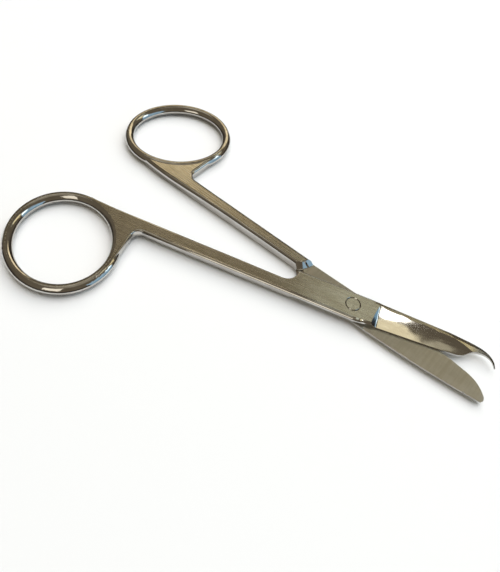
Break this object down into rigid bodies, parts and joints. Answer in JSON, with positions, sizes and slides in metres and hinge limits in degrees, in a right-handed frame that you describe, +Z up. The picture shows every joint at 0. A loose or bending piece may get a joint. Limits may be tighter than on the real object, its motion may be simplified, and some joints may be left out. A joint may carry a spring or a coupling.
{
  "type": "suture scissors",
  "caption": "Stitch-removal scissors: a notched hook blade over a plain round-tipped blade, half-lapped at a flush pivot screw, with straight shanks and oval finger rings.",
  "frame": {"origin": "On the pivot axis, on the flat underside of the joint, which is the face the closed or open scissors lie on.", "axes": "+X runs along the middle line of the open blades towards their tips, +Z points up along the pivot axis out of the hook half's flat side, and +Y completes the right-handed frame, towards the plain half's finger ring."},
  "size_m": [0.112, 0.0734, 0.0031],
  "materials": {
    "hook_half_steel": "forged stainless steel, flat side satin ground along its length, rings, edges and hollow-ground blade face polished bright",
    "plain_half_steel": "forged stainless steel, inner blade face ground across, shank satin, ring and shoulder polished bright",
    "screw_steel": "stainless steel screw head ground flush with the joint and satin finished with it"
  },
  "bodies": {
    "plain": {"plain_half": "plain_half_steel", "pivot_screw": "screw_steel"},
    "hook": {"hook_half": "hook_half_steel"}
  },
  "joints": [
    {"name": "pivot", "type": "hinge", "parent": "plain", "child": "hook", "pos_m": [0, 0, 0.00157], "axis": [0, 0, 1], "range_deg": [-15.6, 74.4]}
  ]
}
